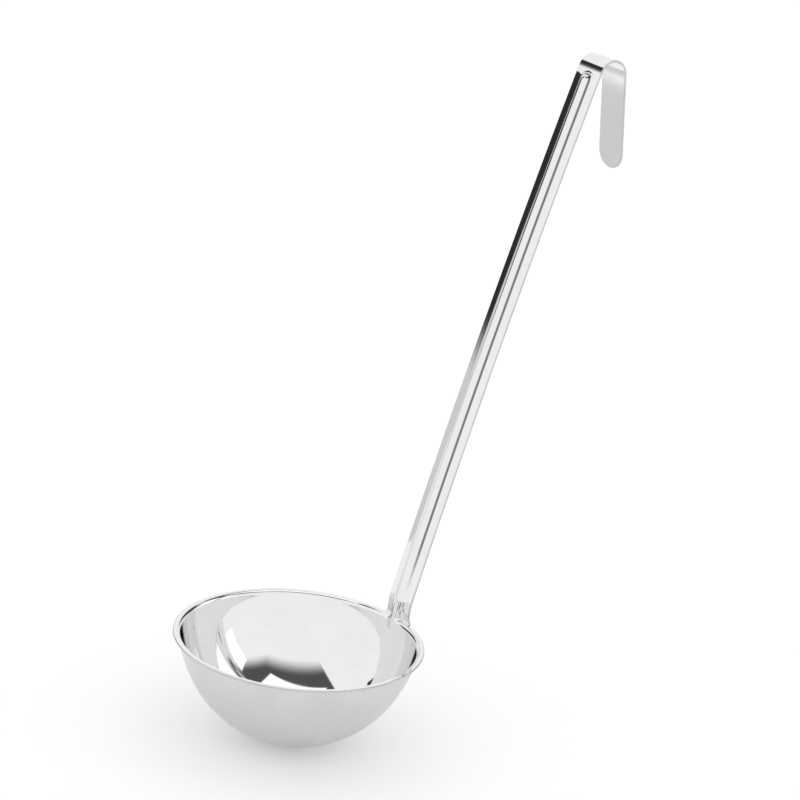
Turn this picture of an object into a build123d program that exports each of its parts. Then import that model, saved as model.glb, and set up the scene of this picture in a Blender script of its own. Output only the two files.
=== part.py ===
from build123d import *

import os
from math import atan, cos, degrees, radians, sin, tan

# A 16 oz soup ladle, pressed from one blank of stainless sheet: bowl, ribbed handle and hook. The rim is
# level, the bowl opens upward and the handle stands on the +X side. The origin is the centre of the hook's
# bend, where the axis of a rail lies when the ladle hangs.

os.makedirs("parts", exist_ok=True)

# Driving dimensions, in millimetres and degrees
sheet = 1.2

bowl_radius = 66.1
lip_width = 2.6
bowl_depth = 58.7
wall_draft = 11.0
bottom_turn = 60.0
lip_bend_radius = 1.2
rim_edge_radius = 0.4

strip_width = 19.0
handle_length = 322.0
low_lean = 15.2
top_lean = 18.6
neck_setback = 1.0
neck_straight = 4.0
neck_radius = 36.0
fold_radius = 0.8

rib_width = 11.4
rib_height = 2.6
rib_foot_radius = 2.9
rib_end_gap = 0.8
nose_drop = 3.6
root_depth = 1.0
nose_turn = 7.0

hook_bend_radius = 8.5
hook_opening = 25.0
tab_length = 55.5


def leaning(point, distance, lean):
    """The point at a distance along a line that leans outward, toward +X, from the vertical."""
    return (point[0] + distance * sin(radians(lean)), point[1] + distance * cos(radians(lean)))


def square_to(point, distance, lean):
    """The point at a distance behind a leaning line, on the side away from the bowl."""
    return (point[0] + distance * cos(radians(lean)), point[1] - distance * sin(radians(lean)))


def bent(point, radius, lean, turn):
    """The end of an arc that starts at a point and leans outward by a further turn."""
    centre = square_to(point, radius, lean)
    return square_to(centre, -radius, lean + turn)


# Places along the handle's front face, seen from the side with the bowl's axis at x = 0 and the rim at 0
rim_radius = bowl_radius + lip_width
foot_point = (rim_radius - neck_setback, 0)
bend_start = leaning(foot_point, neck_straight, 0)
neck_top = bent(bend_start, neck_radius, 0, low_lean)
neck_length = neck_straight + neck_radius * radians(low_lean)
rib_top_margin = rib_width / 2 + rib_end_gap
curved_length = handle_length - neck_length - rib_top_margin
bow_radius = curved_length / radians(top_lean - low_lean)
rib_end = bent(neck_top, bow_radius, low_lean, top_lean - low_lean)
hook_start = leaning(rib_end, rib_top_margin, top_lean)
hook_centre = square_to(hook_start, hook_bend_radius + sheet, top_lean)

# The whole ladle is shifted so that the centre of the hook's bend is the origin
side = Plane(origin=(-hook_centre[0], 0, -hook_centre[1]), x_dir=(1, 0, 0), z_dir=(0, -1, 0))
bowl_axis = Axis((-hook_centre[0], 0, 0), (0, 0, 1))


def across(point, lean):
    """The plane square to the handle at a point: x across the strip, y out of its front face."""
    along = Vector(sin(radians(lean)), 0, cos(radians(lean)))
    return Plane(origin=side.from_local_coords(point), x_dir=(0, 1, 0), z_dir=along)


def facing(point, lean):
    """The plane of the strip's front face at a point: x across the strip, y up the handle."""
    out = Vector(-cos(radians(lean)), 0, sin(radians(lean)))
    return Plane(origin=side.from_local_coords(point), x_dir=(0, -1, 0), z_dir=out)


# The rib's section: a crest arc and two foot arcs that meet at the flank angle
half_rib = rib_width / 2
flank_angle = degrees(2 * atan(rib_height / half_rib))
crest_radius = half_rib / sin(radians(flank_angle)) - rib_foot_radius


def rib_curve(inset):
    """Points of the rib's section from foot to crest, on the front at inset 0 and on the back at the sheet's."""
    foot = rib_foot_radius + inset
    crest = crest_radius - inset
    centre_height = rib_height - crest_radius
    angle = radians(flank_angle)
    half = radians(flank_angle / 2)
    low = (half_rib, -inset)
    low_middle = (half_rib - foot * sin(half), rib_foot_radius - foot * cos(half))
    junction = (crest * sin(angle), centre_height + crest * cos(angle))
    top_middle = (crest * sin(half), centre_height + crest * cos(half))
    return [low, low_middle, junction, top_middle, (0, rib_height - inset)]


def mirrored(points):
    """The same points on the other side of the rib's middle."""
    return [(-x, y) for x, y in points]


# Bowl: one drawn shell with a flared lip, the neck of the handle and the lower end of the rib
wall_lean = radians(90 - wall_draft)
bottom_lean = radians(bottom_turn)
inner_radius = bowl_radius - sheet / cos(radians(wall_draft))
inner_depth = bowl_depth - sheet

# Radii of the wall's two arcs, from where they start and end: across and down, each is a sum of two spans
bottom_across = sin(bottom_lean)
bottom_down = 1 - cos(bottom_lean)
side_across = sin(wall_lean) - sin(bottom_lean)
side_down = cos(bottom_lean) - cos(wall_lean)
spread = bottom_across * side_down - side_across * bottom_down
bottom_radius = (inner_radius * side_down - inner_depth * side_across) / spread
side_radius = (inner_depth * bottom_across - inner_radius * bottom_down) / spread


def wall(outset):
    """The bowl's wall from its middle, below, to its mouth, at a distance outside its inner face."""
    bottom = JernArc((0, -inner_depth - outset), (1, 0), bottom_radius + outset, bottom_turn)
    return bottom, JernArc(bottom @ 1, bottom % 1, side_radius + outset, 90 - wall_draft - bottom_turn)


def arch(inset):
    """The rib's curve from foot to foot, drawn in the current sketch."""
    low, low_middle, junction, _, top = rib_curve(inset)
    far_low, far_low_middle, far_junction, _, _ = mirrored(rib_curve(inset))
    ThreePointArc(low, low_middle, junction)
    ThreePointArc(junction, top, far_junction)
    ThreePointArc(far_junction, far_low_middle, far_low)


def finger(inset, reach):
    """The rib's lower end as a solid finger, from the neck's top down to its nose."""
    _, _, shoulder, shoulder_middle, top = rib_curve(inset)
    root = (shoulder[0] + (shoulder[1] + reach) / tan(radians(flank_angle)), -reach)
    with BuildPart() as form:
        with BuildLine(side) as finger_line:
            ThreePointArc(nose, bent(nose, nose_radius, nose_lean, nose_turn / 2), neck_top)
        with BuildSketch(across(nose, nose_lean)):
            with BuildLine():
                ThreePointArc(shoulder, top, (-shoulder[0], shoulder[1]))
                Polyline((-shoulder[0], shoulder[1]), (-root[0], root[1]), root, shoulder)
            make_face()
        sweep(path=finger_line.line)
        with BuildSketch(across(nose, nose_lean)):
            with BuildLine():
                ThreePointArc(shoulder, shoulder_middle, top)
                Polyline(top, (0, -reach), root, shoulder)
            make_face()
        out = facing(nose, nose_lean)
        revolve(axis=Axis(out.origin, out.z_dir), revolution_arc=180)
    return form.part


# Rib's lower end: it bridges the bend at the rim and ends as a nose on the bowl's inner wall
nose_lean = low_lean - nose_turn
nose_radius = (neck_top[1] + nose_drop) / (sin(radians(low_lean)) - sin(radians(nose_lean)))
nose = bent(neck_top, nose_radius, low_lean, -nose_turn)
with BuildPart() as nose_form:
    add(finger(0, root_depth))
    with BuildSketch(side):
        with BuildLine():
            bottom, side_wall = wall(sheet / 2)
            far = 2 * rim_radius
            Polyline(side_wall @ 1, (far, (side_wall @ 1).Y), (far, -bowl_depth), (0, -bowl_depth), bottom @ 0)
        make_face()
    revolve(axis=bowl_axis, mode=Mode.SUBTRACT)
groove_form = finger(sheet, rim_radius - nose[0] + sheet)

with BuildPart() as bowl:
    with BuildSketch(side) as bowl_section:
        with BuildLine():
            inner_bottom, inner_side = wall(0)
            outer_bottom, outer_side = wall(sheet)
            Line(inner_bottom @ 0, outer_bottom @ 0)
            Line(inner_side @ 1, outer_side @ 1)
        make_face()
        with Locations((inner_radius, 0)):
            Rectangle(rim_radius - inner_radius, sheet, align=(Align.MIN, Align.MAX))
        mouth = bowl_section.vertices().sort_by_distance((inner_radius, 0))[0]
        fillet(mouth, lip_bend_radius + sheet)
        under_lip = bowl_section.vertices().sort_by_distance((bowl_radius, -sheet))[0]
        fillet(under_lip, lip_bend_radius)
        fillet(bowl_section.vertices().group_by(Axis.X)[-1], rim_edge_radius)
    revolve(axis=bowl_axis)
    fold_start = foot_point[0] - fold_radius
    with BuildSketch(side):
        with Locations((fold_start, 0)):
            Rectangle(neck_setback + fold_radius + sheet, sheet, align=(Align.MIN, Align.MAX))
    extrude(amount=strip_width / 2, both=True, mode=Mode.SUBTRACT)
    with BuildSketch(side):
        with BuildLine():
            front_fold = JernArc((fold_start, 0), (1, 0), fold_radius, 90)
            Line(front_fold @ 1, bend_start)
            ThreePointArc(bend_start, bent(bend_start, neck_radius, 0, low_lean / 2), neck_top)
            back_fold = JernArc((fold_start, -sheet), (1, 0), fold_radius + sheet, 90)
            Line(back_fold @ 1, square_to(bend_start, sheet, 0))
            back_middle = square_to(bent(bend_start, neck_radius, 0, low_lean / 2), sheet, low_lean / 2)
            back_top = square_to(neck_top, sheet, low_lean)
            ThreePointArc(square_to(bend_start, sheet, 0), back_middle, back_top)
            Line(front_fold @ 0, back_fold @ 0)
            Line(neck_top, back_top)
        make_face()
    extrude(amount=strip_width / 2, both=True)
    add(nose_form.part)
    add(groove_form, mode=Mode.SUBTRACT)

# Handle: the ribbed strip, bowed a little, whose rib ends in a dome short of the hook
with BuildPart() as handle:
    with BuildLine(side) as handle_line:
        ThreePointArc(neck_top, bent(neck_top, bow_radius, low_lean, (top_lean - low_lean) / 2), rib_end)
    with BuildSketch(across(neck_top, low_lean)):
        with BuildLine():
            arch(0)
            arch(sheet)
            for hand in (1, -1):
                foot = hand * half_rib
                edge = hand * strip_width / 2
                Polyline((foot, 0), (edge, 0), (edge, -sheet), (foot, -sheet))
        make_face()
    sweep(path=handle_line.line)
    with BuildSketch(across(rib_end, top_lean)):
        with BuildLine():
            low, low_middle, junction, top_middle, top = rib_curve(0)
            back_low, back_low_middle, back_junction, back_top_middle, back_top = rib_curve(sheet)
            ThreePointArc(low, low_middle, junction)
            ThreePointArc(junction, top_middle, top)
            Line(top, back_top)
            ThreePointArc(back_top, back_top_middle, back_junction)
            ThreePointArc(back_junction, back_low_middle, back_low)
            Line(back_low, low)
        make_face()
    dome_axis = Axis(across(rib_end, top_lean).origin, facing(rib_end, top_lean).z_dir)
    revolve(axis=dome_axis, revolution_arc=-180)
    with BuildSketch(facing(rib_end, top_lean)):
        with Locations((0, rib_top_margin / 2)):
            Rectangle(strip_width, rib_top_margin)
        Circle(half_rib, mode=Mode.SUBTRACT)
    extrude(amount=-sheet)

# Hook: the flat strip bent back over a rail, with a round-ended tab
tab_lean = top_lean + 180 - hook_opening
bend_middle = square_to(hook_centre, -hook_bend_radius - sheet, top_lean + (180 - hook_opening) / 2)
bend_end = square_to(hook_centre, -hook_bend_radius - sheet, tab_lean)
with BuildPart() as hook:
    with BuildLine(side) as bend_line:
        ThreePointArc(hook_start, bend_middle, bend_end)
    with BuildSketch(across(hook_start, top_lean)):
        with Locations((0, -sheet / 2)):
            Rectangle(strip_width, sheet)
    sweep(path=bend_line.line)
    with BuildSketch(facing(bend_end, tab_lean)):
        straight_length = tab_length - strip_width / 2
        with Locations((0, straight_length / 2)):
            Rectangle(strip_width, straight_length)
        with Locations((0, straight_length)):
            Circle(strip_width / 2)
    extrude(amount=-sheet)

bowl.part.label = "bowl"
handle.part.label = "handle"
hook.part.label = "hook"
export_step(bowl.part, "parts/bowl.step")
export_step(handle.part, "parts/handle.step")
export_step(hook.part, "parts/hook.step")
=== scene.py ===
"""Looks of the soup ladle: one continuous polished sheet, split where the CAD nodes meet.

The sheet's sizes are in millimetres, from the same driving values as the CAD, and become metres in to_mesh.
Drawing coordinates have the bowl's axis at x = 0 and the rim at z = 0. The front of the sheet is the inside
of the bowl and the side of the handle that faces the bowl. Materials and the studio are in metres.
"""

import bpy
import numpy as np
from mathutils import Matrix, Vector


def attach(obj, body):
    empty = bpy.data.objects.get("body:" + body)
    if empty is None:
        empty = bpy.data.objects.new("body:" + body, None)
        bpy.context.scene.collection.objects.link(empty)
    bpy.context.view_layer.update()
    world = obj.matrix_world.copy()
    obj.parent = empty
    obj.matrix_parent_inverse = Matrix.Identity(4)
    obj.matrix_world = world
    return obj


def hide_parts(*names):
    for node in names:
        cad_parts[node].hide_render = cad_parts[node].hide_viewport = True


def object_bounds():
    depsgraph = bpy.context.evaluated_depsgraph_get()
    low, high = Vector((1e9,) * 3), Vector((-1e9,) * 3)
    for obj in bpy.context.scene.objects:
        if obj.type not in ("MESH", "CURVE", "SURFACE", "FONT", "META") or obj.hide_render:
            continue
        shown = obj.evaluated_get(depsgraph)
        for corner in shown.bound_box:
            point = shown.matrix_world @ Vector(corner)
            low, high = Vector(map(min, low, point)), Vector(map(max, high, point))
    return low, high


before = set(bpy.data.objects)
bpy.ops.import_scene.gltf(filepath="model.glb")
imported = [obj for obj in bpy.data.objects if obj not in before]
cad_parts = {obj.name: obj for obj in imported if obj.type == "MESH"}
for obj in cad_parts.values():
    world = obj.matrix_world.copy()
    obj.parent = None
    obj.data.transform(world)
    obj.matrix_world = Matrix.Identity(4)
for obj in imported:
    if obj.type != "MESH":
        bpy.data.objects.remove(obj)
cad_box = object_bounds()

MM = 0.001
TINY = 1e-12

# Driving dimensions in millimetres, and angles
SHEET = 1.2
RIM_RADIUS = 68.7
BOWL_RADIUS = 66.1
BOWL_DEPTH = 58.7
WALL_DRAFT = np.radians(11.0)
BOTTOM_TURN = np.radians(60.0)
ROLL_RADIUS = 2.4
FOLD_RADIUS = 0.8
NECK_SETBACK = 1.0
EDGE_RADIUS = 0.4
FILLET_RADIUS = 3.0
STRIP_WIDTH = 19.0
HANDLE_LENGTH = 322.0
LOW_LEAN = np.radians(15.2)
TOP_LEAN = np.radians(18.6)
NECK_STRAIGHT = 4.0
NECK_RADIUS = 36.0
RIB_WIDTH = 11.4
RIB_HEIGHT = 2.6
RIB_FOOT_RADIUS = 2.9
RIB_END_GAP = 0.8
HOOK_BEND_RADIUS = 8.5
HOOK_TURN = np.radians(155.0)
TAB_LENGTH = 55.5

# How far beside the strip its fold fades into the lip, and its least share, which keeps radii finite
FOLD_FADE = 6.0
LEAST_FOLD = 1e-5

# The rib's lower end. Its line leaves the handle's at its top, turns, and reaches the bowl's wall at its
# foot. The top is measured from the fold, and the foot and the start of its rounding from the roll-over.
NOSE_TOP = 10.0
NOSE_TURN = np.radians(7.0)
NOSE_FOOT = -9.0
NOSE_START = -2.6
NOSE_BLUNTNESS = 1.35

# How far the hook's bend is eased into the straight strip
BEND_EASE = 2.0

# The shading of the flats beside the rib: how far it leans away from the rib, over what length it comes in
# past the neck, and how far inside the rib's edge and over what width it comes in across
DISH = np.radians(9.0)
DISH_START = 45.0
DISH_INSET = 1.5
DISH_WIDTH = 2.5

# Zones of the grid: the centre that a fan closes, the finer top of the wall, the rows just inside the flat
# lip that the fold may lift, and the finer part of the neck past its straight
CENTRE_RADIUS = 1.0
WALL_TOP = 12.0
LIP_MARGIN = 1.0
LOW_NECK = 6.0

# Grid steps, in millimetres
FINE_STEP = 0.25
BOWL_STEP = 1.6
WALL_STEP = 0.5
FOLD_STEP = 0.35
NECK_STEP = 0.7
HANDLE_STEP = 1.0
DOME_STEP = 0.3
TOP_STEP = 1.5
BEND_STEP = 0.45
TAB_STEP = 2.0

# Counts of grid lines and points. The tab's round end stops a little short of a quarter turn, in degrees.
HALF_COLUMNS = 28
ROUND_COLUMNS = 232
LIP_ROWS = 6
TAB_END_ROWS = 24
TAB_END_TURN = 88
PATH_POINTS = 40001

# The cut edge's rounding, as angles from the sheet's front
EDGE_ANGLES = np.radians([0, 30, 60, 90])

# Points are welded where they match on a grid of so many steps to the millimetre, and their normals on a
# coarse grid of steps to the unit
WELD_POINTS = 200
WELD_NORMALS = 4

# Places in a piece's list of materials. The bowl has its outside and the neck besides.
MAIN, CUT, SATIN, NECK = 0, 1, 2, 3


def unit(v):
    """Vectors scaled to length 1 along their last axis."""
    return v / np.maximum(np.linalg.norm(v, axis=-1, keepdims=True), TINY)


def smooth_step(x):
    """0 below 0, 1 above 1 and a smooth rise between."""
    x = np.clip(x, 0.0, 1.0)
    return x * x * x * (10 - 15 * x + 6 * x * x)


# The meridian of the bowl's inside: two tangent arcs, then the roll-over onto the flat lip
inner_radius = BOWL_RADIUS - SHEET / np.cos(WALL_DRAFT)
inner_depth = BOWL_DEPTH - SHEET
wall_lean = np.pi / 2 - WALL_DRAFT
spans = np.array(
    [
        [np.sin(BOTTOM_TURN), np.sin(wall_lean) - np.sin(BOTTOM_TURN)],
        [1 - np.cos(BOTTOM_TURN), np.cos(BOTTOM_TURN) - np.cos(wall_lean)],
    ]
)
bottom_radius, side_radius = np.linalg.solve(spans, [inner_radius, inner_depth])
roll_z = -ROLL_RADIUS
side_centre_x = inner_radius - side_radius * np.sin(wall_lean)
side_centre_z = side_radius * np.cos(wall_lean)
to_roll = side_radius + ROLL_RADIUS
roll_lean = np.arccos((side_centre_z - roll_z) / to_roll)
roll_centre = np.array([side_centre_x + to_roll * np.sin(roll_lean), roll_z])
bottom_length = bottom_radius * BOTTOM_TURN
side_length = side_radius * (roll_lean - BOTTOM_TURN)
roll_length = ROLL_RADIUS * roll_lean

# The handle's front line above the fold, as distance, place and lean
half_strip = STRIP_WIDTH / 2
half_rib = RIB_WIDTH / 2
bend_radius = HOOK_BEND_RADIUS + SHEET
fold_start = RIM_RADIUS - NECK_SETBACK - FOLD_RADIUS
fold_end = fold_start + FOLD_RADIUS * np.pi / 2
neck_length = NECK_STRAIGHT + NECK_RADIUS * LOW_LEAN
rib_top_margin = half_rib + RIB_END_GAP
bow_length = HANDLE_LENGTH - neck_length - rib_top_margin
stretches = [
    (NECK_STRAIGHT - FOLD_RADIUS, 0.0),
    (NECK_RADIUS * LOW_LEAN, LOW_LEAN),
    (bow_length, TOP_LEAN - LOW_LEAN),
    (rib_top_margin, 0.0),
    (bend_radius * HOOK_TURN, HOOK_TURN),
    (TAB_LENGTH, 0.0),
]
stops = fold_end + np.concatenate([[0], np.cumsum([length for length, _ in stretches])])
leans = np.concatenate([[0], np.cumsum([turn for _, turn in stretches])])
neck_start, neck_top, rib_end, hook_start, tab_start, tab_end = stops[1:]
path_at = np.linspace(stops[0], tab_end, PATH_POINTS)
step = path_at[1] - path_at[0]


def walked(lean):
    """The path's points from its lean at each step."""
    middle = (lean[1:] + lean[:-1]) / 2
    x = fold_start + FOLD_RADIUS + np.concatenate([[0], np.cumsum(np.sin(middle) * step)])
    z = FOLD_RADIUS + np.concatenate([[0], np.cumsum(np.cos(middle) * step)])
    return x, z


# The hook's centre comes from the path with sharp changes of curvature, as in the CAD, before they are eased
sharp_lean = np.interp(path_at, stops, leans)
sharp_x, sharp_z = walked(sharp_lean)
hook_x = np.interp(hook_start, path_at, sharp_x) + bend_radius * np.cos(TOP_LEAN)
hook_z = np.interp(hook_start, path_at, sharp_z) - bend_radius * np.sin(TOP_LEAN)
hook_centre = np.array([hook_x, 0.0, hook_z])
window = int(BEND_EASE / step)
spread = np.convolve(np.pad(sharp_lean, window, mode="edge"), np.ones(window) / window, mode="same")
near_bend = path_at > rib_end - BEND_EASE
path_lean = np.where(near_bend, spread[window:-window], sharp_lean)
path_x, path_z = walked(path_lean)

# The rib's section
flank = 2 * np.arctan(RIB_HEIGHT / half_rib)
crest_radius = half_rib / np.sin(flank) - RIB_FOOT_RADIUS


def rib_share(distance):
    """The rib's height at a distance from its crest line, as a share of its full height."""
    d = np.abs(distance)
    crest = RIB_HEIGHT - crest_radius + np.sqrt(np.maximum(crest_radius**2 - d**2, 0))
    foot = RIB_FOOT_RADIUS - np.sqrt(np.maximum(RIB_FOOT_RADIUS**2 - (half_rib - d) ** 2, 0))
    height = np.where(d < crest_radius * np.sin(flank), crest, foot)
    return np.where(d < half_rib, height, 0.0) / RIB_HEIGHT


def flat_sheet(along, across):
    """The lip, roll-over, fold and strip without the rib, from blank coordinates off the bowl's axis."""
    radius = np.hypot(along, across)
    drop = np.minimum(radius - roll_centre[0], 0)
    height = np.sqrt(np.maximum(ROLL_RADIUS**2 - drop**2, 0)) - ROLL_RADIUS
    fold = 1 - smooth_step((np.abs(across) - half_strip) / FOLD_FADE)
    fold = np.maximum(fold, LEAST_FOLD)
    turned = np.clip((along - fold_start) / FOLD_RADIUS, 0, np.pi / 2)
    angle = fold * turned
    beyond = np.maximum(along - fold_end, 0)
    x = np.minimum(along, fold_start) + FOLD_RADIUS / fold * np.sin(angle) + beyond * np.cos(angle)
    z = FOLD_RADIUS / fold * (1 - np.cos(angle)) + beyond * np.sin(angle)
    on_strip = along > neck_start
    lean = np.interp(along, path_at, path_lean)
    x = np.where(on_strip, np.interp(along, path_at, path_x), x)
    z = np.where(on_strip, np.interp(along, path_at, path_z), z)
    angle = np.where(on_strip, np.pi / 2 - lean, angle)
    x = x - height * np.sin(angle)
    z = z + height * np.cos(angle)
    return np.stack([x, across, z], axis=-1)


# Distances along the blank from the bowl's centre: on the wall they're the meridian's length, shifted so
# that it runs on into the lip's radius
roll_at_blank = roll_centre[0] - roll_length
wall_shift = roll_at_blank - side_length - bottom_length


def meridian(at):
    """Radius and height of the bowl's inside at a blank distance, from the centre to the lip."""
    bottom_lean = np.clip((at - wall_shift) / bottom_radius, 0, BOTTOM_TURN)
    side_lean = BOTTOM_TURN + (at - wall_shift - bottom_length) / side_radius
    side_lean = np.clip(side_lean, BOTTOM_TURN, roll_lean)
    left = np.clip(roll_lean - (at - roll_at_blank) / ROLL_RADIUS, 0, roll_lean)
    radius = (
        bottom_radius * np.sin(bottom_lean)
        + side_radius * (np.sin(side_lean) - np.sin(BOTTOM_TURN))
        + ROLL_RADIUS * (np.sin(roll_lean) - np.sin(left))
        + np.maximum(at - roll_centre[0], 0)
    )
    height = (
        bottom_radius * (1 - np.cos(bottom_lean))
        + side_radius * (np.cos(BOTTOM_TURN) - np.cos(side_lean))
        + ROLL_RADIUS * (np.cos(left) - np.cos(roll_lean))
        - inner_depth
    )
    return radius, height


def steps(start, end, size):
    """Evenly spaced values from start, without end, no further apart than size."""
    return np.linspace(start, end, int(np.ceil((end - start) / size)) + 1)[:-1]


# Rows of the grid, as blank distances: the bowl's, the fillets' beside the neck, and the strip's. Half the
# flat is the strip's half width without its rounded edge.
lip_edge = RIM_RADIUS - EDGE_RADIUS
wall_top_start = roll_at_blank - WALL_TOP
bowl_rows = np.concatenate(
    [
        steps(wall_shift + CENTRE_RADIUS, wall_top_start, BOWL_STEP),
        steps(wall_top_start, roll_at_blank, WALL_STEP),
        steps(roll_at_blank, roll_centre[0], FINE_STEP),
        np.linspace(roll_centre[0], lip_edge, LIP_ROWS),
    ]
)
fillet_y = half_strip + FILLET_RADIUS
fillet_x = np.sqrt((RIM_RADIUS + FILLET_RADIUS) ** 2 - fillet_y**2)
neck_angle = np.arctan2(fillet_y, fillet_x)
dome_end = rib_end + half_rib
half_flat = half_strip - EDGE_RADIUS
fillet_rows = steps(lip_edge, fillet_x, FINE_STEP)[1:]
strip_rows = np.concatenate(
    [
        steps(fillet_x, neck_start + LOW_NECK, FOLD_STEP),
        steps(neck_start + LOW_NECK, neck_top, NECK_STEP),
        steps(neck_top, rib_end, HANDLE_STEP),
        steps(rib_end, dome_end, DOME_STEP),
        steps(dome_end, hook_start, TOP_STEP),
        steps(hook_start, tab_start, BEND_STEP),
        steps(tab_start, tab_end - half_strip, TAB_STEP),
    ]
)
tab_end_angles = np.radians(np.linspace(0, TAB_END_TURN, TAB_END_ROWS))

# Columns of the neck and handle, as shares of the half width
shares = np.linspace(-1, 1, 2 * HALF_COLUMNS + 1)
columns = len(shares)


def blank_grid():
    """Blank coordinates of the neck's and handle's columns above the lip's edge."""
    along, across = [], []
    fillet_angles = np.linspace(np.pi + neck_angle, 1.5 * np.pi, len(fillet_rows) + 2)[1:-1]
    for middle, angle in zip(fillet_rows, fillet_angles):
        edge_x = fillet_x + (FILLET_RADIUS + EDGE_RADIUS) * np.cos(angle)
        edge_y = fillet_y + (FILLET_RADIUS + EDGE_RADIUS) * np.sin(angle)
        along.append(edge_x + (middle - edge_x) * (1 - shares**2))
        across.append(edge_y * shares)
    for row in strip_rows:
        along.append(np.full_like(shares, row))
        across.append(half_flat * shares)
    for angle in tab_end_angles:
        along.append(np.full_like(shares, tab_end - half_strip + half_flat * np.sin(angle)))
        across.append(half_flat * np.cos(angle) * shares)
    return np.array(along), np.array(across)


def crest_line(at):
    """Points of the rib's crest line on the handle, for blank distances."""
    lean = np.interp(at, path_at, path_lean)
    base = np.stack([np.interp(at, path_at, path_x), np.interp(at, path_at, path_z)], axis=-1)
    return base + RIB_HEIGHT * np.stack([-np.cos(lean), np.sin(lean)], axis=-1)


bridge_top = fold_end + NOSE_TOP
bridge_bottom = roll_at_blank + NOSE_FOOT
nose_start = roll_at_blank + NOSE_START


def bridge(at):
    """The crest line below the handle, which keeps the handle's curve and runs on to the bowl's wall."""
    top = crest_line(np.array(bridge_top))
    lean = np.interp(bridge_top, path_at, path_lean)
    bottom_z = meridian(np.array(bridge_bottom))[1]
    span = bridge_top - bridge_bottom
    q = np.clip((at - bridge_bottom) / span, 0, 1)
    z = (
        (2 * q**3 - 3 * q**2 + 1) * bottom_z
        + (q**3 - 2 * q**2 + q) * span
        + (3 * q**2 - 2 * q**3) * top[1]
        + (q**3 - q**2) * span * np.cos(lean)
    )
    fall = top[1] - z
    final = lean - NOSE_TURN
    whole = top[1] - bottom_z
    x = top[0] - fall * np.tan(lean) + fall**2 / (2 * whole) * (np.tan(lean) - np.tan(final))
    return np.stack([x, z], axis=-1)


def with_rib(flat, at, across):
    """The sheet's front with its rib, from the flat sheet and the blank distances and places across."""
    on_handle = (at > bridge_top)[..., None]
    crest = np.where(on_handle, crest_line(at), bridge(at))
    nose = np.maximum(nose_start - at, 0) * NOSE_BLUNTNESS
    dome = np.maximum(at - rib_end, 0)
    share = rib_share(np.sqrt(across**2 + nose**2 + dome**2))
    level = np.zeros_like(at)
    toward_crest = np.stack([crest[..., 0] - flat[..., 0], level, crest[..., 1] - flat[..., 2]], axis=-1)
    lean = np.interp(at, path_at, path_lean)
    square = RIB_HEIGHT * np.stack([-np.cos(lean), level, np.sin(lean)], axis=-1)
    return flat + share[..., None] * np.where(on_handle, square, toward_crest)


# The bowl's grid, all round, with the neck's columns first
neck_turns = neck_angle * shares
rest_turns = np.linspace(neck_angle, 2 * np.pi - neck_angle, ROUND_COLUMNS + 1)[1:-1]
turns = np.concatenate([neck_turns, rest_turns])
row_radius, row_height = meridian(bowl_rows)
bowl_flat = np.stack(
    [
        row_radius[:, None] * np.cos(turns),
        row_radius[:, None] * np.sin(turns),
        np.repeat(row_height[:, None], len(turns), axis=1),
    ],
    axis=-1,
)
on_lip = row_radius > roll_centre[0] - LIP_MARGIN
blank_x, blank_y = bowl_flat[on_lip, :, 0], bowl_flat[on_lip, :, 1]
past_fold = blank_x > fold_start
folded = flat_sheet(blank_x, blank_y)
bowl_flat[on_lip] = np.where(past_fold[..., None], folded, bowl_flat[on_lip])
row_at = np.repeat(bowl_rows[:, None], columns, axis=1)
bowl_front = bowl_flat.copy()
bowl_front[:, :columns] = with_rib(bowl_flat[:, :columns], row_at, bowl_flat[:, :columns, 1])

# The neck's, handle's and hook's grid
blank_along, blank_across = blank_grid()
row_middle = np.concatenate([fillet_rows, strip_rows, blank_along[-TAB_END_ROWS:, 0]])
strip_at = np.repeat(row_middle[:, None], columns, axis=1)
strip_front = with_rib(flat_sheet(blank_along, blank_across), strip_at, blank_across)


def grid_normals(points, periodic):
    """Unit normals of a grid of points, toward the front."""
    down = np.gradient(points, axis=0)
    if periodic:
        over = (np.roll(points, -1, axis=1) - np.roll(points, 1, axis=1)) / 2
    else:
        over = np.gradient(points, axis=1)
    return unit(np.cross(down, over))


# Normals, shared where the bowl and the columns overlap, with the flats beside the rib shaded as if dished
bowl_normal = grid_normals(bowl_front, True)
column_front = np.concatenate([bowl_front[:, :columns], strip_front])
column_normal = grid_normals(column_front, False)
bowl_normal[:, 1 : columns - 1] = column_normal[: len(bowl_rows), 1:-1]
column_normal[: len(bowl_rows)] = bowl_normal[:, :columns]
column_at = np.concatenate([row_at, strip_at])
column_y = column_front[..., 1]
beside_rib = smooth_step((np.abs(column_y) - half_rib + DISH_INSET) / DISH_WIDTH)
up_handle = smooth_step((column_at - neck_top) / DISH_START)
below_end = smooth_step((dome_end - column_at) / half_rib)
dish_share = beside_rib * (up_handle * below_end)
column_normal[..., 1] += np.tan(DISH) * dish_share * np.sign(column_y)
column_normal = unit(column_normal)


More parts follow.
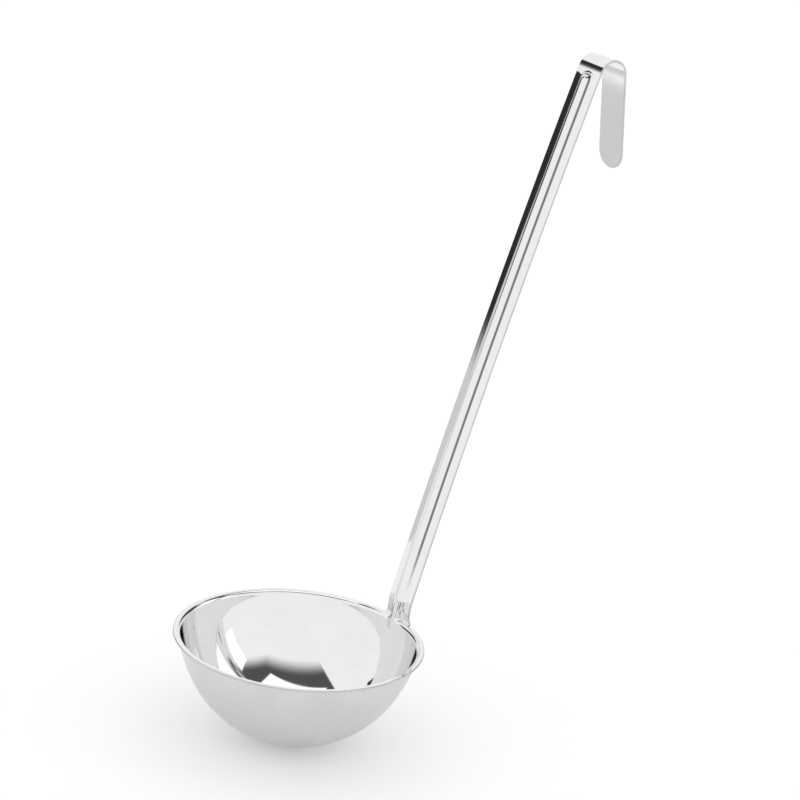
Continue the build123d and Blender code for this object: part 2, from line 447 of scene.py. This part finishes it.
class Sheet:
    """Collects grids of points with normals into one mesh."""

    def __init__(self):
        self.points, self.normals, self.faces, self.finishes, self.count = [], [], [], [], 0

    def grid(self, points, normals, periodic=False, finish=MAIN):
        """A grid of quads. Rows run away from the bowl's centre, columns toward +Y, seen from the front."""
        rows, cols = points.shape[:2]
        index = self.count + np.arange(rows * cols).reshape(rows, cols)
        self.points.append(points.reshape(-1, 3))
        self.normals.append(normals.reshape(-1, 3))
        self.count += rows * cols
        if periodic:
            index = np.concatenate([index, index[:, :1]], axis=1)
        quads = np.stack([index[:-1, :-1], index[1:, :-1], index[1:, 1:], index[:-1, 1:]], axis=-1)
        self.faces += quads.reshape(-1, 4).tolist()
        self.finishes += [finish] * (quads.size // 4)

    def fan(self, centre, normal, ring, normals, finish=MAIN):
        """A fan of triangles from a centre to a closed ring."""
        start = self.count
        self.points.append(np.concatenate([centre[None], ring]))
        self.normals.append(np.concatenate([normal[None], normals]))
        self.count += len(ring) + 1
        for i in range(len(ring)):
            self.faces.append([start, start + 1 + i, start + 1 + (i + 1) % len(ring)])
            self.finishes.append(finish)

    def to_mesh(self, name, materials):
        """The Blender object, in metres in the shared frame, with the exact normals of the sheet."""
        points = np.concatenate(self.points) - hook_centre
        normals = unit(np.concatenate(self.normals))
        key = np.concatenate([points * WELD_POINTS, normals * WELD_NORMALS], axis=1)
        key = np.round(key).astype(int)
        _, first, back = np.unique(key, axis=0, return_index=True, return_inverse=True)
        back = back.reshape(-1)
        faces, finishes = [], []
        for face, finish in zip(self.faces, self.finishes):
            ring = [int(back[i]) for i in face]
            ring = [v for i, v in enumerate(ring) if v != ring[i - 1]]
            if len(set(ring)) > 2:
                faces.append(ring)
                finishes.append(finish)
        mesh = bpy.data.meshes.new(name)
        mesh.from_pydata((points[first] * MM).tolist(), [], faces)
        mesh.polygons.foreach_set("use_smooth", [True] * len(mesh.polygons))
        mesh.polygons.foreach_set("material_index", finishes)
        for material in materials:
            mesh.materials.append(material)
        mesh.normals_split_custom_set_from_vertices(normals[first].tolist())
        mesh.update()
        piece = bpy.data.objects.new(name, mesh)
        bpy.context.scene.collection.objects.link(piece)
        return piece


def back_of(points, normals):
    """The sheet's back, a sheet's thickness behind its front."""
    return points - SHEET * normals


def edge_profile(points, normals, outward):
    """The cut edge's rounded profile, from the front to the back: points and normals, row by row."""
    rows, facing = [], []
    for angle in EDGE_ANGLES:
        rows.append(points + EDGE_RADIUS * (outward * np.sin(angle) - normals * (1 - np.cos(angle))))
        facing.append(normals * np.cos(angle) + outward * np.sin(angle))
    for angle in EDGE_ANGLES[::-1]:
        low = points - normals * (SHEET - EDGE_RADIUS)
        rows.append(low + EDGE_RADIUS * (outward * np.sin(angle) - normals * np.cos(angle)))
        facing.append(outward * np.sin(angle) - normals * np.cos(angle))
    return np.array(rows), np.array(facing)


# The steel's two tones in each finish: polished, but satin on the bowl's outside and duller at the cut edges
BOWL_AXIS = tuple(-hook_centre * MM)
PALE_STEEL = ((0.86, 0.86, 0.86, 1), (0.82, 0.82, 0.818, 1))
SATIN_STEEL = ((0.70, 0.70, 0.697, 1), (0.65, 0.65, 0.644, 1))
CUT_STEEL = ((0.62, 0.62, 0.62, 1), (0.54, 0.54, 0.535, 1))

# Roughness in each finish, least and most
POLISH_ROUGHNESS = (0.04, 0.075)
SATIN_ROUGHNESS = (0.27, 0.36)
CUT_ROUGHNESS = (0.25, 0.35)

# Lines of the finish: how fine they are across, per metre, then their runs in a radian of the bowl or in a
# metre of the handle
BOWL_POLISH = (900, 6)
BOWL_SATIN = (1500, 40)
HANDLE_POLISH = (1800, 30)

# How deep the lines are, in metres
BOWL_POLISH_DEPTH = 0.25e-6
HANDLE_POLISH_DEPTH = 0.3e-6
SATIN_DEPTH = 6e-6
CUT_DEPTH = 3e-6

# Clouds in the steel, the shares of clouds and lines in its changes, and the span of their sum over which
# roughness and tone change
CLOUD_SCALE = 45.0
CLOUD_DETAIL = 5.0
LINE_DETAIL = 3.0
CLOUD_SHARE = 0.6
LINE_SHARE = 0.4
ROUGHNESS_SPAN = (0.35, 0.65)
TONE_SPAN = (0.3, 0.7)

# A painted dark reflection along the rib's flank, in metres, and the heights over the rim where it fades in
PAINTED_REFLECTION_COLOUR = (0.16, 0.16, 0.16, 1)
PAINTED_REFLECTION_ACROSS = 3.6 * MM
PAINTED_REFLECTION_HALF_WIDTH = 0.75 * MM
PAINTED_REFLECTION_CORE_SHARE = 0.2
PAINTED_REFLECTION_LOW = (12 * MM, 45 * MM)


def add_node(tree, kind, values=(), **settings):
    """A node with its settings, whose inputs are given as numbers or as sockets to link."""
    made = tree.nodes.new(kind)
    for name, setting in settings.items():
        setattr(made, name, setting)
    for socket, value in dict(values).items():
        if isinstance(value, bpy.types.NodeSocket):
            tree.links.new(value, made.inputs[socket])
        else:
            made.inputs[socket].default_value = value
    return made


def math(tree, operation, first, second=0.0):
    """A sum or product and the like of two values."""
    return add_node(tree, "ShaderNodeMath", {0: first, 1: second}, operation=operation).outputs[0]


def vector_math(tree, operation, first, second):
    """A sum or product and the like of two vectors."""
    made = add_node(tree, "ShaderNodeVectorMath", {0: first, 1: second}, operation=operation)
    return made.outputs["Value" if operation == "DOT_PRODUCT" else "Vector"]


def ramp(tree, value, start, end, low, high):
    """A value that goes smoothly from low to high while another goes from start to end."""
    inputs = {"Value": value, "From Min": start, "From Max": end, "To Min": low, "To Max": high}
    return add_node(tree, "ShaderNodeMapRange", inputs, interpolation_type="SMOOTHSTEP").outputs["Result"]


def mix_colour(tree, share, first, second):
    """A colour between two, from its share of the second."""
    return add_node(tree, "ShaderNodeMix", {0: share, 6: first, 7: second}, data_type="RGBA").outputs[2]


def place(tree):
    """The point on the surface, in metres from the bowl's axis at the level of its rim."""
    at = add_node(tree, "ShaderNodeTexCoord").outputs["Object"]
    return vector_math(tree, "SUBTRACT", at, BOWL_AXIS)


def round_lines(tree, at, grain, runs):
    """Coordinates in which noise makes fine lines round the bowl, with so many runs in a radian."""
    parts = add_node(tree, "ShaderNodeSeparateXYZ", {0: at}).outputs
    across = math(tree, "MULTIPLY", parts["X"], parts["X"])
    along = math(tree, "MULTIPLY", parts["Y"], parts["Y"])
    radius = math(tree, "SQRT", math(tree, "ADD", across, along))
    angle = math(tree, "ARCTAN2", parts["Y"], parts["X"])
    values = {
        "X": math(tree, "MULTIPLY", radius, grain),
        "Y": math(tree, "MULTIPLY", parts["Z"], grain),
        "Z": math(tree, "MULTIPLY", angle, runs),
    }
    return add_node(tree, "ShaderNodeCombineXYZ", values).outputs[0]


def polish_round(tree, at):
    """Polishing lines round the bowl."""
    return round_lines(tree, at, *BOWL_POLISH)


def satin_round(tree, at):
    """Satin lines round the bowl's outside."""
    return round_lines(tree, at, *BOWL_SATIN)


def polish_along(tree, at):
    """Polishing lines along the handle and hook."""
    grain, runs = HANDLE_POLISH
    return vector_math(tree, "MULTIPLY", at, (grain, grain, runs))


def painted_flank_reflection(tree, at):
    """The share of a painted dark reflection in a line that follows the rib's flank and goes round its upper
    end.
    """
    end_x, end_z = [float(np.interp(rib_end, path_at, line)) * MM for line in (path_x, path_z)]
    from_end = vector_math(tree, "SUBTRACT", at, (end_x, 0, end_z))
    handle_direction = (float(np.sin(TOP_LEAN)), 0, float(np.cos(TOP_LEAN)))
    above = math(tree, "MAXIMUM", vector_math(tree, "DOT_PRODUCT", from_end, handle_direction), 0.0)
    parts = add_node(tree, "ShaderNodeSeparateXYZ", {0: at}).outputs
    squares = [math(tree, "MULTIPLY", value, value) for value in (parts["Y"], above)]
    across = math(tree, "SQRT", math(tree, "ADD", squares[0], squares[1]))
    off = math(tree, "ABSOLUTE", math(tree, "SUBTRACT", across, PAINTED_REFLECTION_ACROSS))
    line = ramp(tree, off, PAINTED_REFLECTION_CORE_SHARE * PAINTED_REFLECTION_HALF_WIDTH, PAINTED_REFLECTION_HALF_WIDTH, 1.0, 0.0)
    low = ramp(tree, parts["Z"], *PAINTED_REFLECTION_LOW, 0.0, 1.0)
    return math(tree, "MULTIPLY", line, low)


def new_material(name):
    """A material and its nodes."""
    material = bpy.data.materials.new(name)
    material.use_nodes = True
    return material, material.node_tree


def steel(name, tones, roughness, lines, line_depth, painted_line=None):
    """Steel with clouded roughness, lines from a function that places them, and a painted dark reflection
    from another.
    """
    material, tree = new_material(name)
    shader = tree.nodes["Principled BSDF"]
    shader.inputs["Metallic"].default_value = 1.0
    at = place(tree)
    clouds = {"Vector": at, "Scale": CLOUD_SCALE, "Detail": CLOUD_DETAIL}
    cloud = add_node(tree, "ShaderNodeTexNoise", clouds).outputs[0]
    grain = {"Vector": lines(tree, at), "Scale": 1.0, "Detail": LINE_DETAIL}
    line = add_node(tree, "ShaderNodeTexNoise", grain).outputs[0]
    cloud_part = math(tree, "MULTIPLY", cloud, CLOUD_SHARE)
    line_part = math(tree, "MULTIPLY", line, LINE_SHARE)
    soft = math(tree, "ADD", cloud_part, line_part)
    tree.links.new(ramp(tree, soft, *ROUGHNESS_SPAN, *roughness), shader.inputs["Roughness"])
    colour = mix_colour(tree, ramp(tree, soft, *TONE_SPAN, 0.0, 1.0), *tones)
    bump = {"Height": line, "Strength": 1.0, "Distance": line_depth}
    tree.links.new(add_node(tree, "ShaderNodeBump", bump).outputs[0], shader.inputs["Normal"])
    # Where a line function is given, a painted dark reflection darkens the steel's colour along it
    if painted_line:
        colour = mix_colour(tree, painted_line(tree, at), colour, PAINTED_REFLECTION_COLOUR)
    tree.links.new(colour, shader.inputs["Base Color"])
    return material


polished = steel("steel_polished", PALE_STEEL, POLISH_ROUGHNESS, polish_round, BOWL_POLISH_DEPTH)
satin = steel("steel_satin", SATIN_STEEL, SATIN_ROUGHNESS, satin_round, SATIN_DEPTH)
cut = steel("steel_cut", CUT_STEEL, CUT_ROUGHNESS, polish_along, CUT_DEPTH)
strip = steel("steel_strip", PALE_STEEL, POLISH_ROUGHNESS, polish_along, HANDLE_POLISH_DEPTH)
# The handle's and neck's steel, with a painted dark reflection along the rib's flank and round its upper end
ribbed = steel("steel_ribbed", PALE_STEEL, POLISH_ROUGHNESS, polish_along, HANDLE_POLISH_DEPTH, painted_flank_reflection)

# Rows of the columns' grid at the lip's edge and where the handle and the hook begin
lip_row = len(bowl_rows) - 1
all_rows = np.concatenate([bowl_rows, row_middle])
handle_first = int(np.argmin(np.abs(all_rows - neck_top)))
hook_first = int(np.argmin(np.abs(all_rows - hook_start)))

# The outline: round the lip from one side of the neck to the other, then up one edge, round the tab and down
lip_ring = np.concatenate([np.arange(columns - 1, len(turns)), [0]])
up = np.arange(lip_row, len(column_front))


def outline_of(bowl_grid, column_grid):
    """The values along the outline, from the grids of points or of normals."""
    lip, tip = bowl_grid[-1][lip_ring], column_grid[-1]
    left, right = column_grid[up, 0], column_grid[up, -1]
    return np.concatenate([lip[:-1], left, tip[1:-1], right[::-1][:-1]])


outline_points = outline_of(bowl_front, column_front)
outline_normals = outline_of(bowl_normal, column_normal)
closed_points = np.concatenate([outline_points[-1:], outline_points, outline_points[:1]])
along_outline = unit(closed_points[2:] - closed_points[:-2])
outward = unit(np.cross(along_outline, outline_normals))
profile, profile_normals = edge_profile(outline_points, outline_normals, outward)

# Where the two edges of the strip and the tab's tip lie along the outline
lip_count = len(lip_ring) - 1
left_at = lip_count + np.arange(len(up))
tip_at = lip_count + len(up) - 1 + np.arange(columns)
right_at = (lip_count + len(up) + columns - 2 + np.arange(len(up))) % len(outline_points)


def add_strip(sheet, first, last, finish=MAIN):
    """Adds the front and back of the columns from one row to another."""
    rows = slice(first, last + 1)
    front, normal = column_front[rows], column_normal[rows]
    sheet.grid(front, normal, finish=finish)
    sheet.grid(back_of(front, normal)[:, ::-1], -normal[:, ::-1], finish=finish)


def add_edge(sheet, indices):
    """Adds the cut edge along a run of outline points."""
    sheet.grid(profile[:, indices], profile_normals[:, indices], finish=CUT)


def add_sides(sheet, first, last):
    """Adds the strip's two cut edges from one row to another."""
    low, high = first - lip_row, last - lip_row
    add_edge(sheet, left_at[low : high + 1])
    add_edge(sheet, right_at[len(up) - 1 - high : len(up) - low])


handle_sheet = Sheet()
add_strip(handle_sheet, handle_first, hook_first)
add_sides(handle_sheet, handle_first, hook_first)
handle = handle_sheet.to_mesh("handle_sheet", [ribbed, cut])

hook_sheet = Sheet()
add_strip(hook_sheet, hook_first, len(column_front) - 1)
add_sides(hook_sheet, hook_first, len(column_front) - 1)
add_edge(hook_sheet, tip_at)
hook = hook_sheet.to_mesh("hook_sheet", [strip, cut])

bowl_sheet = Sheet()
bowl_sheet.grid(bowl_front, bowl_normal, periodic=True)
bowl_back = back_of(bowl_front, bowl_normal)
bowl_sheet.grid(bowl_back[:, ::-1], -bowl_normal[:, ::-1], periodic=True, finish=SATIN)
centre = np.array([0.0, 0.0, -inner_depth])
upward = np.array([0.0, 0.0, 1.0])
bowl_sheet.fan(centre, upward, bowl_front[0], bowl_normal[0])
low_centre = centre - SHEET * upward
bowl_sheet.fan(low_centre, -upward, bowl_back[0][::-1], -bowl_normal[0][::-1], finish=SATIN)
add_strip(bowl_sheet, lip_row, handle_first, finish=NECK)
add_edge(bowl_sheet, np.arange(lip_count + 1))
add_sides(bowl_sheet, lip_row, handle_first)
bowl = bowl_sheet.to_mesh("bowl_sheet", [polished, cut, satin, ribbed])

for piece, node in ((bowl, "bowl"), (handle, "handle"), (hook, "hook")):
    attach(piece, "root")
    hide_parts(node)

# Camera, fitted to the photograph's outline. Its target and distance are in millimetres of the drawing, and
# the nearest and furthest that it sees are in metres.
CAMERA_LENS = 143.4
SENSOR_WIDTH = 36
CAMERA_TURN = np.radians(-39.54)
CAMERA_RISE = np.radians(18.95)
CAMERA_ROLL = np.radians(6.42)
CAMERA_DISTANCE = 1722.3
CAMERA_TARGET = np.array([52.1, 0.0, 131.0])
NEAREST_SEEN = 0.05
FURTHEST_SEEN = 50

camera_back = np.array(
    [
        np.sin(CAMERA_TURN) * np.cos(CAMERA_RISE),
        -np.cos(CAMERA_TURN) * np.cos(CAMERA_RISE),
        np.sin(CAMERA_RISE),
    ]
)
level_right = np.array([np.cos(CAMERA_TURN), np.sin(CAMERA_TURN), 0])
level_up = np.cross(camera_back, level_right)
camera_right = np.cos(CAMERA_ROLL) * level_right + np.sin(CAMERA_ROLL) * level_up
camera_up = -np.sin(CAMERA_ROLL) * level_right + np.cos(CAMERA_ROLL) * level_up
camera_data = bpy.data.cameras.new("camera")
camera_data.lens = CAMERA_LENS
camera_data.sensor_width = SENSOR_WIDTH
camera_data.clip_start = NEAREST_SEEN
camera_data.clip_end = FURTHEST_SEEN
camera = bpy.data.objects.new("camera", camera_data)
camera_place = (CAMERA_TARGET - hook_centre + CAMERA_DISTANCE * camera_back) * MM
camera_axes = Matrix([camera_right, camera_up, camera_back]).transposed().to_4x4()
camera.matrix_world = Matrix.Translation(Vector(camera_place)) @ camera_axes
bpy.context.scene.collection.objects.link(camera)
bpy.context.scene.camera = camera

# Studio, in metres: a pale floor, a white world, and cards out of the camera's sight for the steel to mirror
WHITE = (1, 1, 1, 1)
SQUARE = ((-1, -1), (1, -1), (1, 1), (-1, 1))
FLOOR_REACH = 6.0
FLOOR_COLOUR = (0.9, 0.9, 0.9, 1)
FLOOR_ROUGHNESS = 0.9
CEILING_HEIGHT = 1.6
CEILING_REACH = 2.2
MAT_PLACE = (-0.376, 0.537)
MAT_REACH = 0.2
MAT_LIFT = 2 * MM
HOOK_AXIS = (0.0, 0.0, 0.0)

# Brightness: what the floor gains where it's seen directly, the world as a light, and the cards
FLOOR_LIFT = 0.2
SOFT_LIGHT = 0.9
BOX_LIGHT = 1.25
DARK_CARD = 0.09
BLACK_CARD = 0.03
MAT_LIGHT = 0.7


def seen_directly(tree):
    """1 for rays from the camera, a mirror or glass, 0 for the rays that light a matt surface."""
    rays = add_node(tree, "ShaderNodeLightPath").outputs
    mirrored = math(tree, "ADD", rays["Is Glossy Ray"], rays["Is Transmission Ray"])
    return math(tree, "ADD", rays["Is Camera Ray"], mirrored)


def stage_card(name, corners, material):
    """A flat card of the studio, given by its corners."""
    mesh = bpy.data.meshes.new(name)
    mesh.from_pydata([tuple(float(v) for v in corner) for corner in corners], [], [range(len(corners))])
    mesh.materials.append(material)
    card = bpy.data.objects.new(name, mesh)
    bpy.context.scene.collection.objects.link(card)
    return card


floor_z = cad_box[0][2]
floor_material, floor_tree = new_material("floor")
floor_shader = floor_tree.nodes["Principled BSDF"]
floor_shader.inputs["Base Color"].default_value = FLOOR_COLOUR
floor_shader.inputs["Roughness"].default_value = FLOOR_ROUGHNESS
floor_shader.inputs["Emission Color"].default_value = WHITE
floor_lift = math(floor_tree, "MULTIPLY", seen_directly(floor_tree), FLOOR_LIFT)
floor_tree.links.new(floor_lift, floor_shader.inputs["Emission Strength"])
stage_card("floor", [(x * FLOOR_REACH, y * FLOOR_REACH, floor_z) for x, y in SQUARE], floor_material)

world = bpy.data.worlds.new("world")
bpy.context.scene.world = world
world.use_nodes = True
sky = world.node_tree.nodes["Background"]
sky.inputs["Color"].default_value = WHITE
sky_light = ramp(world.node_tree, seen_directly(world.node_tree), 0.0, 1.0, SOFT_LIGHT, 1.0)
world.node_tree.links.new(sky_light, sky.inputs["Strength"])


def glowing(name, strength):
    """A material of even brightness, or of a brightness from a function that adds its nodes."""
    material, tree = new_material(name)
    tree.nodes.remove(tree.nodes["Principled BSDF"])
    light = strength(tree) if callable(strength) else strength
    glow = add_node(tree, "ShaderNodeEmission", {"Color": WHITE, "Strength": light})
    tree.links.new(glow.outputs[0], tree.nodes["Material Output"].inputs["Surface"])
    return material


# The ceiling, in units of its height over the bowl. A line is its outward direction and its distance from
# the bowl's axis. The softbox lies inside its lines. The dark round it fades out past its own lines, and
# ends at the wall's.
SOFTBOX_LINES = [
    ((-0.794, -0.608), 0.111),
    ((0.5, -0.866), 0.466),
    ((-0.5, 0.866), 0.498),
    ((0.794, 0.608), 0.6),
]
FADE_LINES = [
    ((-0.625, -0.78), 0.468),
    ((0.0, -1.0), 0.74),
    ((0.0, 1.0), 0.62),
    ((1.0, 0.0), 1.1),
]
WALL_LINES = [((-0.93, 0.37), 0.62)]

# Distances past the lines over which their edges blur and the dark fades out
EDGE_BLUR = 0.012
FADE_START = -0.19
FADE_END = 0.22


def beyond(tree, at, lines):
    """How far a point on the ceiling lies past the outermost of some lines, in ceiling heights."""
    furthest = None
    for direction, distance in lines:
        scaled = (direction[0] / CEILING_HEIGHT, direction[1] / CEILING_HEIGHT, 0)
        past = math(tree, "SUBTRACT", vector_math(tree, "DOT_PRODUCT", at, scaled), distance)
        furthest = past if furthest is None else math(tree, "MAXIMUM", furthest, past)
    return furthest


def ceiling_light(tree):
    """Brightness of the ceiling: the softbox, the dark round it and the pale rest."""
    at = place(tree)
    box = ramp(tree, beyond(tree, at, SOFTBOX_LINES), -EDGE_BLUR, EDGE_BLUR, BOX_LIGHT, 0.0)
    fade = ramp(tree, beyond(tree, at, FADE_LINES), FADE_START, FADE_END, DARK_CARD, 1.0)
    wall = ramp(tree, beyond(tree, at, WALL_LINES), -EDGE_BLUR, EDGE_BLUR, 0.0, 1.0)
    return math(tree, "MAXIMUM", box, math(tree, "MAXIMUM", fade, wall))


def graded(low, high, below):
    """The brightness of a flag: grey below one height over the bowl's rim and black above another."""

    def light(tree):
        height = vector_math(tree, "DOT_PRODUCT", place(tree), (0, 0, 1))
        return ramp(tree, height, low, high, below, BLACK_CARD)

    return light


# Upright cards: the place they are aimed from, azimuths and elevations in degrees, distance and brightness
CARDS = {
    "side_panel": (BOWL_AXIS, (-51, -8), (15, 42), 1.5, BOX_LIGHT),
    "handle_flag": (BOWL_AXIS, (82, 118), (-12, 26), 1.2, graded(0.14, 0.21, 0.7)),
    "hook_flag": (HOOK_AXIS, (106, 138), (15, 36), 0.35, graded(0.38, 0.47, 0.6)),
    "neck_flag": (BOWL_AXIS, (0, 35), (10, 36), 1.0, DARK_CARD),
}

# The ceiling's corners have x and y in each other's place, so that it faces down
ceiling_z = BOWL_AXIS[2] + CEILING_HEIGHT
ceiling_corners = [(y * CEILING_REACH, x * CEILING_REACH, ceiling_z) for x, y in SQUARE]
cards = [stage_card("ceiling", ceiling_corners, glowing("ceiling", ceiling_light))]
for name, (aimed_from, azimuths, elevations, distance, strength) in CARDS.items():
    corners = []
    for side, level in ((0, 0), (1, 0), (1, 1), (0, 1)):
        azimuth, elevation = np.radians(azimuths[side]), np.radians(elevations[level])
        toward_card = np.array([np.cos(azimuth), np.sin(azimuth), np.tan(elevation)])
        corners.append(np.array(aimed_from) + distance * toward_card)
    cards.append(stage_card(name, corners, glowing(name, strength)))
mat_x, mat_y = MAT_PLACE
mat_corners = [(mat_x + x * MAT_REACH, mat_y + y * MAT_REACH, floor_z + MAT_LIFT) for x, y in SQUARE]
cards.append(stage_card("mat", mat_corners, glowing("mat", MAT_LIGHT)))
for card in cards:
    card.visible_camera = False
    card.visible_diffuse = False
    card.visible_shadow = False

bpy.context.scene.view_settings.view_transform = "Standard"
